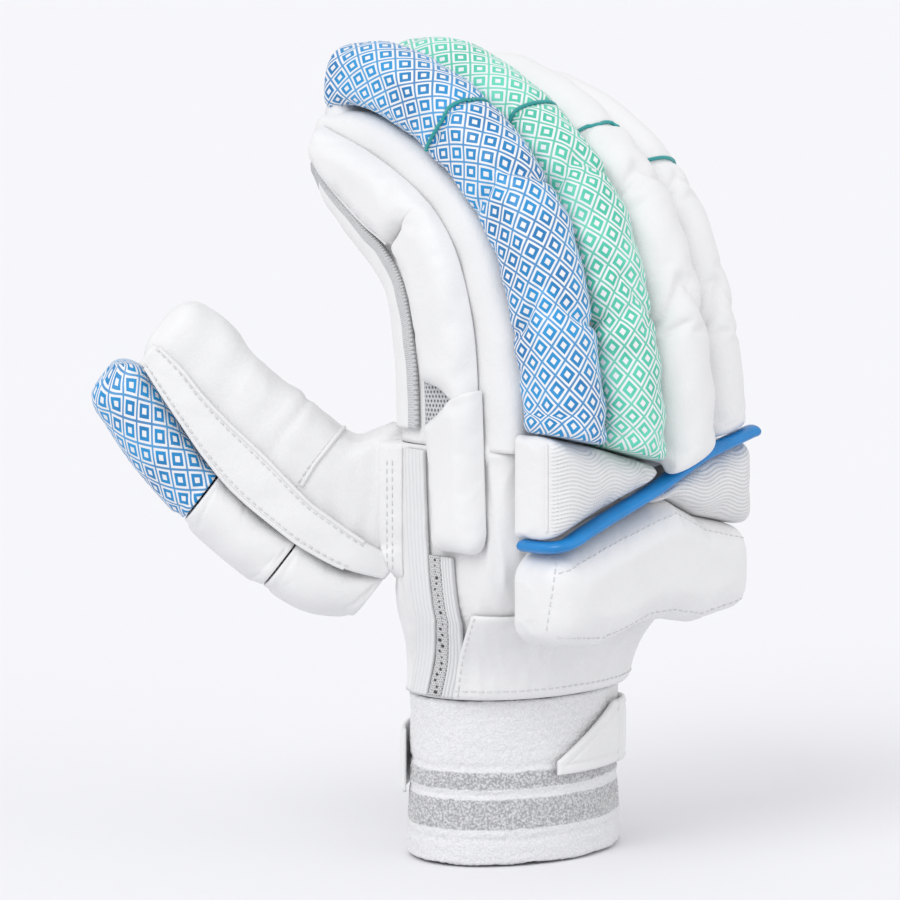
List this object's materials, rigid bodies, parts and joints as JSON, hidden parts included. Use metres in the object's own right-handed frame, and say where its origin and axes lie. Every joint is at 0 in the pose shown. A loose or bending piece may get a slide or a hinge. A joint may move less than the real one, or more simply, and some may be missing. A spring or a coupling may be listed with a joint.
{
  "type": "cricket batting glove",
  "caption": "Right-hand cricket batting glove with padded finger rolls, hollow finger stalls and a knitted cuff.",
  "frame": {"origin": "centre of the cuff's open mouth", "axes": "+Z from the wrist up the fingers, -Y out of the back of the hand, +Y out of the palm, -X to the thumb side"},
  "size_m": [0.1599, 0.1681, 0.2689],
  "materials": {
    "white_leather": "soft matt white leather with a fine grain",
    "blue_print_leather": "white leather with a blue diamond trellis print",
    "mint_print_leather": "white leather with a mint diamond trellis print",
    "blue_piping": "smooth coated bead",
    "grey_mesh": "open air mesh",
    "cuff_knit": "towelling knit with two grey stripes"
  },
  "bodies": {
    "root": {"cuff": "cuff_knit", "hand_shell": "white_leather", "index_stall": "white_leather", "middle_stall": "white_leather", "ring_stall": "white_leather", "little_stall": "white_leather", "index_roll": "blue_print_leather", "middle_roll": "mint_print_leather", "ring_roll": "white_leather", "little_roll": "white_leather", "knuckle_pad_inner": "white_leather", "knuckle_pad_outer": "white_leather", "wrist_pad": "white_leather", "piping": "blue_piping", "heel_panel": "white_leather", "side_rib_front": "white_leather", "side_mesh": "grey_mesh", "side_rib_rear": "white_leather", "index_side_middle": "white_leather", "index_side_tip": "white_leather", "index_side_lower": "white_leather", "index_gusset": "grey_mesh", "wrist_strap": "white_leather", "strap_tab": "white_leather", "thumb_stall": "white_leather", "thumb_back": "white_leather", "thumb_side_strip": "white_leather", "thumb_tip_pad": "blue_print_leather", "thumb_middle_pad": "white_leather", "thumb_base_pad": "white_leather"}
  },
  "joints": []
}
